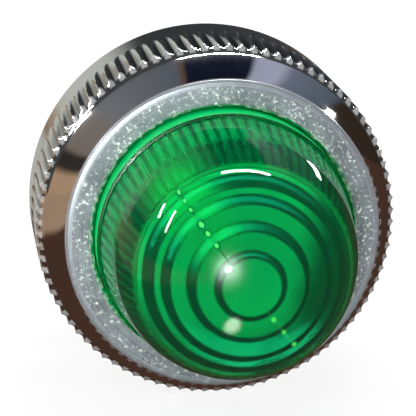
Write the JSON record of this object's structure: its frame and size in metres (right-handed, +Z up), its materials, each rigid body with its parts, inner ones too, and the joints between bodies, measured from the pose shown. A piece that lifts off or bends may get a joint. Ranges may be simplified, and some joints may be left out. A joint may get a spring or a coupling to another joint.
{
  "type": "panel pilot light",
  "caption": "Round panel pilot light: knurled chrome screw bezel with a tall domed green lens, over a threaded bushing with a sprung bayonet lamp socket and screw terminals.",
  "frame": {"origin": "on the axis, at the panel's front face, which the gasket rests on", "axes": "-Y points out of the panel along the axis, towards the lens; +Z is up"},
  "size_m": [0.0344, 0.0611, 0.0344],
  "materials": {
    "chrome_plate": "chrome plate on brass, satin pitted face and mirror wall",
    "green_lens": "transparent green moulding, polished outside",
    "black_rubber": "moulded rubber",
    "spring_steel": "bright spring steel",
    "nickel_plate": "nickel plate on brass",
    "zinc_plate": "zinc-plated steel",
    "brown_phenolic": "moulded phenolic",
    "white_plastic": "white moulded reflector, satin",
    "brass": "bare brass",
    "lamp_nickel": "nickel-plated brass",
    "lamp_vitrite": "black lamp-base glass",
    "solder": "soft solder",
    "clear_glass": "clear lamp glass",
    "tungsten": "drawn tungsten wire"
  },
  "bodies": {
    "barrel": {"barrel": "nickel_plate", "panel_gasket": "black_rubber", "socket_body": "brown_phenolic", "body_retainer": "spring_steel", "reflector": "white_plastic", "socket_shell": "brass", "centre_eyelet": "brass", "contact_spring": "spring_steel", "live_terminal": "brass", "shell_terminal": "brass", "terminal_screws": "zinc_plate", "wire_clamps": "zinc_plate"},
    "lens_group": {"lens": "green_lens", "lens_gasket": "black_rubber"},
    "bezel": {"bezel": "chrome_plate", "lens_retainer": "spring_steel"},
    "lock_washer": {"lock_washer": "zinc_plate"},
    "panel_nut": {"panel_nut": "nickel_plate"},
    "lamp": {"lamp_base": "lamp_nickel", "lamp_insulator": "lamp_vitrite", "lamp_contact": "solder", "lamp_bulb": "clear_glass", "lamp_stem": "clear_glass", "lamp_leads": "lamp_nickel", "lamp_filament": "tungsten"},
    "plunger": {"contact_plunger": "brass", "contact_disc": "brown_phenolic"}
  },
  "joints": [
    {"name": "cap_travel", "type": "slide", "parent": "barrel", "child": "lens_group", "axis": [0, -1, 0], "range_m": [0, 0.01]},
    {"name": "cap_turn", "type": "hinge", "parent": "lens_group", "child": "bezel", "pos_m": [0, 0, 0], "axis": [0, -1, 0], "range_deg": [0, 2880]},
    {"name": "nut_travel", "type": "slide", "parent": "barrel", "child": "lock_washer", "axis": [0, 1, 0], "range_m": [-0.0024, 0.006]},
    {"name": "nut_turn", "type": "hinge", "parent": "lock_washer", "child": "panel_nut", "pos_m": [0, 0, 0], "axis": [0, 1, 0], "range_deg": [-576, 1440]},
    {"name": "lamp_push", "type": "slide", "parent": "barrel", "child": "lamp", "axis": [0, 1, 0], "range_m": [0, 0.0012]},
    {"name": "plunger_push", "type": "slide", "parent": "barrel", "child": "plunger", "axis": [0, 1, 0], "range_m": [0, 0.0012], "stiffness_N_per_m": 600, "springref_m": -0.003, "deforming": ["contact_spring"]}
  ],
  "couplings": [
    {"joint": "cap_travel", "follows": "cap_turn", "m_per_rad": 0.00019894},
    {"joint": "nut_travel", "follows": "nut_turn", "m_per_rad": 0.00023873},
    {"joint": "plunger_push", "follows": "lamp_push", "ratio": 1}
  ]
}
